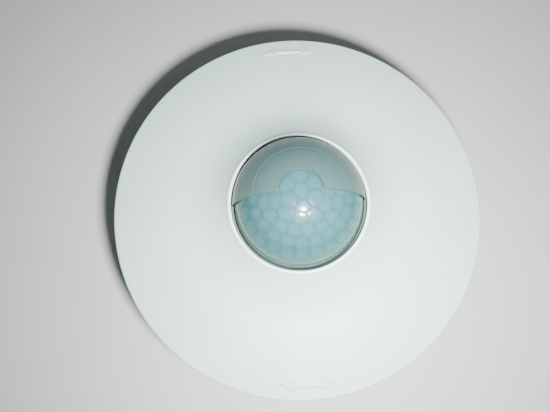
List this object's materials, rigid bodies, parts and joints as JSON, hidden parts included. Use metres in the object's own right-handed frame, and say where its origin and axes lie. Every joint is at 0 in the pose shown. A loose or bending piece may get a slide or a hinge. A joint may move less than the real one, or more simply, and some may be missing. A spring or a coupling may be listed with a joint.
{
  "type": "ceiling motion sensor",
  "caption": "Flush ceiling motion sensor: thin flared round cover round a faceted lens dome with a clip-on half mask, and a round insert with claws behind the ceiling.",
  "frame": {"origin": "centre of the insert's flat back, which is the lowest face when the dome points up", "axes": "+Z out of the ceiling through the dome, +Y at the first raised arrow and the masked half, X along the mask's straight edge"},
  "size_m": [0.108, 0.108, 0.0583],
  "materials": {
    "white_shell": "satin",
    "lens": "translucent satin",
    "mask": "translucent satin",
    "gasket_foam": "matte",
    "insert_grey": "matte",
    "zinc_steel": "satin",
    "board_green": "satin",
    "carrier_black": "matte",
    "sensor_can": "satin",
    "cell_black": "gloss",
    "lamp_red": "gloss",
    "trimmer_blue": "satin",
    "rotor_orange": "satin",
    "slider_white": "satin",
    "relay_orange": "satin",
    "coil_yellow": "satin",
    "film_yellow": "satin",
    "sleeve_blue": "gloss",
    "varistor_blue": "gloss",
    "terminal_grey": "satin",
    "screw_brass": "satin"
  },
  "bodies": {
    "base": {"head_housing": "white_shell", "support_plate": "zinc_steel", "rear_can": "insert_grey", "lens_dome": "lens", "lens_retainer": "white_shell", "dome_gasket": "gasket_foam", "claw_screw_right": "zinc_steel", "claw_screw_left": "zinc_steel", "sensor_board": "board_green", "sensor_carrier": "carrier_black", "pir_sensor_1": "sensor_can", "pir_sensor_2": "sensor_can", "pir_sensor_3": "sensor_can", "pir_sensor_4": "sensor_can", "light_sensor": "cell_black", "status_lamp": "lamp_red", "time_pot": "trimmer_blue", "light_pot": "trimmer_blue", "switch_block": "carrier_black", "test_switch": "carrier_black", "power_board": "board_green", "relay": "relay_orange", "transformer": "coil_yellow", "suppressor_capacitor": "film_yellow", "fuse": "carrier_black", "board_header": "carrier_black", "main_capacitor": "sleeve_blue", "varistor": "varistor_blue", "terminal_block": "terminal_grey", "terminal_screw_1": "screw_brass", "terminal_screw_2": "screw_brass", "terminal_screw_3": "screw_brass", "terminal_screw_4": "screw_brass"},
    "cover_lock": {"bayonet_ring": "white_shell"},
    "cover": {"cover": "white_shell"},
    "mask": {"lens_mask": "mask"},
    "time_knob": {"time_knob": "rotor_orange"},
    "light_knob": {"light_knob": "rotor_orange"},
    "switch_1": {"switch_slider_1": "slider_white"},
    "switch_2": {"switch_slider_2": "slider_white"},
    "switch_3": {"switch_slider_3": "slider_white"},
    "test_button": {"test_button": "rotor_orange"},
    "claw_right": {"claw_right": "zinc_steel"},
    "claw_left": {"claw_left": "zinc_steel"}
  },
  "joints": [
    {"name": "cover_twist", "type": "hinge", "parent": "base", "child": "cover_lock", "pos_m": [0, 0, 0.0312], "axis": [0, 0, 1], "range_deg": [0, 15]},
    {"name": "cover_lift", "type": "slide", "parent": "cover_lock", "child": "cover", "axis": [0, 0, 1], "range_m": [0, 0.035]},
    {"name": "mask_turn", "type": "hinge", "parent": "base", "child": "mask", "pos_m": [0, 0, 0.0378], "axis": [0, 0, 1], "continuous": true},
    {"name": "time_knob_turn", "type": "hinge", "parent": "base", "child": "time_knob", "pos_m": [0.01853, 0.01853, 0.0337], "axis": [0, 0, 1], "range_deg": [-135, 135]},
    {"name": "light_knob_turn", "type": "hinge", "parent": "base", "child": "light_knob", "pos_m": [-0.01853, 0.01853, 0.0337], "axis": [0, 0, 1], "range_deg": [-135, 135]},
    {"name": "switch_1_slide", "type": "slide", "parent": "base", "child": "switch_1", "axis": [-0.7071, -0.7071, 0], "range_m": [0, 0.002]},
    {"name": "switch_2_slide", "type": "slide", "parent": "base", "child": "switch_2", "axis": [-0.7071, -0.7071, 0], "range_m": [0, 0.002]},
    {"name": "switch_3_slide", "type": "slide", "parent": "base", "child": "switch_3", "axis": [-0.7071, -0.7071, 0], "range_m": [0, 0.002]},
    {"name": "test_press", "type": "slide", "parent": "base", "child": "test_button", "axis": [0, 0, -1], "range_m": [0, 0.0005], "stiffness_N_per_m": 400, "springref_m": -0.0003},
    {"name": "claw_right_swing", "type": "hinge", "parent": "base", "child": "claw_right", "pos_m": [0.0269, 0, 0.0279], "axis": [0, -1, 0], "range_deg": [0, 30]},
    {"name": "claw_left_swing", "type": "hinge", "parent": "base", "child": "claw_left", "pos_m": [-0.0269, 0, 0.0279], "axis": [0, 1, 0], "range_deg": [0, 30]}
  ]
}
